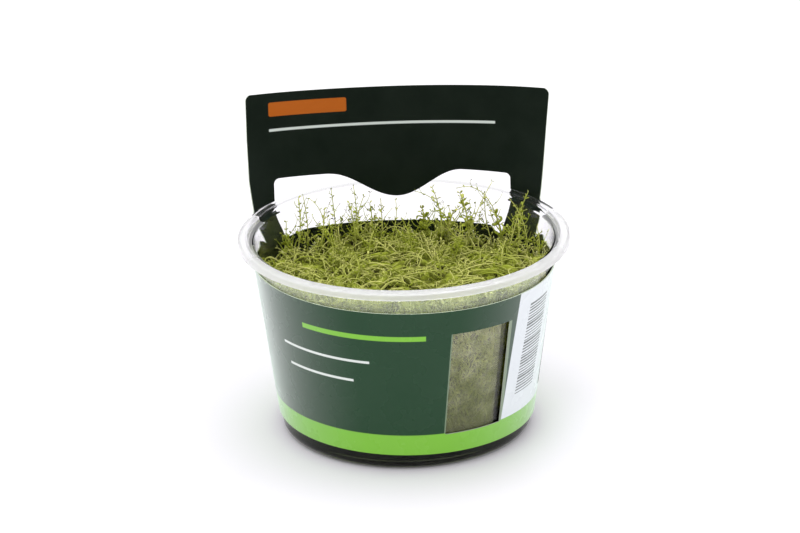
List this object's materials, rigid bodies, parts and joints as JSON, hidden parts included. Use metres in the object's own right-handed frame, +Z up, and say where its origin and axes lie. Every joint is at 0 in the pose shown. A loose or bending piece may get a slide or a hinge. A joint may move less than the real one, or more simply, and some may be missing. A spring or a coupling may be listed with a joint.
{
  "type": "pearlweed in vitro cup",
  "caption": "Pearlweed growing in a clear round cup, in a die-cut card sleeve with a window and a tall header behind the rim.",
  "frame": {"origin": "on the surface the cup stands on, under the cup's axis", "axes": "+Z up; the header stands at the back, +Y, and the printed front faces -Y"},
  "size_m": [0.101, 0.1013, 0.0936],
  "materials": {
    "clear_plastic": "clear, gloss",
    "printed_card": "dark green print, satin",
    "nutrient_jelly": "clear brown-green jelly, wet",
    "pearlweed": "fine green stems and leaves, damp"
  },
  "bodies": {
    "root": {"cup": "clear_plastic", "sleeve": "printed_card", "nutrient_gel": "nutrient_jelly", "plant_mat": "pearlweed", "sprig_01": "pearlweed", "sprig_02": "pearlweed", "sprig_03": "pearlweed", "sprig_04": "pearlweed", "sprig_05": "pearlweed", "sprig_06": "pearlweed", "sprig_07": "pearlweed", "sprig_08": "pearlweed", "sprig_09": "pearlweed", "sprig_10": "pearlweed", "sprig_11": "pearlweed", "sprig_12": "pearlweed", "sprig_13": "pearlweed", "sprig_14": "pearlweed", "sprig_15": "pearlweed", "sprig_16": "pearlweed", "sprig_17": "pearlweed", "sprig_18": "pearlweed", "sprig_19": "pearlweed", "sprig_20": "pearlweed", "sprig_21": "pearlweed", "sprig_22": "pearlweed", "sprig_23": "pearlweed", "sprig_24": "pearlweed", "sprig_25": "pearlweed", "sprig_26": "pearlweed", "sprig_27": "pearlweed", "sprig_28": "pearlweed", "sprig_29": "pearlweed", "sprig_30": "pearlweed", "sprig_31": "pearlweed", "sprig_32": "pearlweed", "sprig_33": "pearlweed"}
  },
  "joints": []
}
